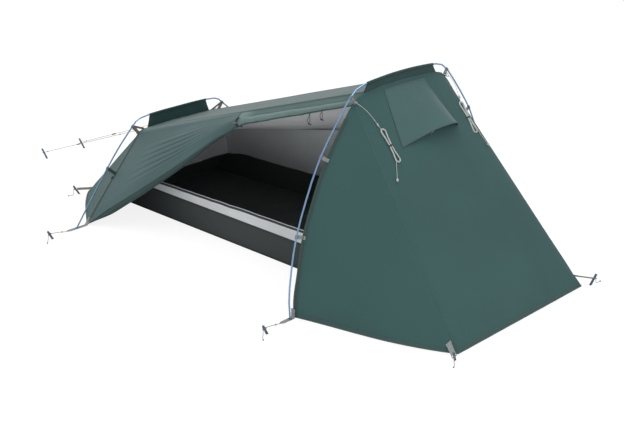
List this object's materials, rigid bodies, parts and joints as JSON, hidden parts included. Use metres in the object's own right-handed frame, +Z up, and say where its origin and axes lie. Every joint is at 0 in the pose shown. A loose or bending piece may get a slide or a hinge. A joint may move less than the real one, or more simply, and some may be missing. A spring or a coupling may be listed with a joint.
{
  "type": "one-person tent",
  "caption": "Low one-person tent with a tall and a low outside hoop pole, a sloping flysheet with its side door tied open, a bathtub inner, guylines and pegs.",
  "frame": {"origin": "on the ground under the groundsheet, on the centre line, in the plane of the tall head hoop", "axes": "+X towards the head end along the tent, +Y towards the far side away from the door, +Z up"},
  "size_m": [3.6669, 2.0042, 1.063],
  "materials": {
    "pole": "satin, blue-grey anodised",
    "elastic": "braided",
    "flysheet": "matt coated nylon, green-grey",
    "flysheet_light": "matt coated nylon, green-grey seen in more light",
    "insect_mesh": "fine black netting",
    "groundsheet": "coated nylon, charcoal",
    "sill": "matt, off-white",
    "inner": "breathable cloth, grey",
    "plastic": "matt grey",
    "webbing": "woven, light grey",
    "cord": "braided, light grey",
    "peg": "satin anodised"
  },
  "bodies": {
    "tent": {"head_hoop_near_leg": "pole", "head_hoop_crown": "pole", "head_hoop_far_leg": "pole", "foot_hoop_near_leg": "pole", "foot_hoop_crown": "pole", "foot_hoop_far_leg": "pole", "head_hoop_shock_cord": "elastic", "foot_hoop_shock_cord": "elastic", "head_pole_sleeve": "flysheet", "foot_pole_sleeve": "flysheet", "fly_far_side": "flysheet", "fly_head_near": "flysheet", "fly_head_end": "flysheet", "fly_head_far": "flysheet", "fly_foot_near": "flysheet", "fly_foot_end": "flysheet", "fly_foot_far": "flysheet", "vent_hood": "flysheet", "fly_roof": "flysheet_light", "door_flap": "flysheet_light", "door_roll": "flysheet_light", "vent_mesh": "insect_mesh", "inner_tub": "groundsheet", "inner_sill": "sill", "inner_ceiling": "inner", "inner_far_wall": "inner", "inner_foot_wall": "inner", "inner_head_wall": "inner", "head_clip_near_upper": "plastic", "head_clip_near_middle": "plastic", "head_clip_near_lower": "plastic", "head_clip_far_upper": "plastic", "head_clip_far_middle": "plastic", "foot_clip_near_upper": "plastic", "foot_clip_near_middle": "plastic", "foot_clip_far_upper": "plastic", "door_tie": "webbing", "head_strap_near": "webbing", "head_strap_far": "webbing", "foot_strap_near": "webbing", "foot_strap_far": "webbing", "foot_guyline_near": "cord", "foot_guyline_far": "cord", "head_guyline_hank_near": "cord", "head_guyline_hank_far": "cord", "head_peg_near": "peg", "head_peg_far": "peg", "foot_peg_near": "peg", "foot_peg_far": "peg", "head_corner_peg_near": "peg", "head_corner_peg_far": "peg", "foot_corner_peg_near": "peg", "foot_corner_peg_far": "peg", "guy_peg_near": "peg", "guy_peg_far": "peg"},
    "door_toggle": {"door_toggle": "plastic"},
    "door_zip_slider": {"door_zip_slider": "plastic"},
    "guy_adjuster_far": {"guy_adjuster_far": "plastic"},
    "guy_adjuster_near": {"guy_adjuster_near": "plastic"},
    "inner_zip_slider": {"inner_zip_slider": "plastic"}
  },
  "joints": [
    {"name": "door_zip", "type": "slide", "parent": "tent", "child": "door_zip_slider", "axis": [-0.0313, 0.703, 0.7105], "range_m": [-0.05, 0]},
    {"name": "inner_zip", "type": "slide", "parent": "tent", "child": "inner_zip_slider", "axis": [0.9998, 0, 0.0183], "range_m": [-1.7, 0.1]},
    {"name": "near_guy_adjust", "type": "slide", "parent": "tent", "child": "guy_adjuster_near", "axis": [-0.9313, 0.102, -0.3497], "range_m": [-0.2, 0.2]},
    {"name": "far_guy_adjust", "type": "slide", "parent": "tent", "child": "guy_adjuster_far", "axis": [-0.9214, -0.1751, -0.3468], "range_m": [-0.2, 0.2]},
    {"name": "door_toggle_turn", "type": "hinge", "parent": "tent", "child": "door_toggle", "pos_m": [-0.87, -0.2922, 0.6728], "axis": [0, -1, 0], "range_deg": [0, 80]}
  ]
}
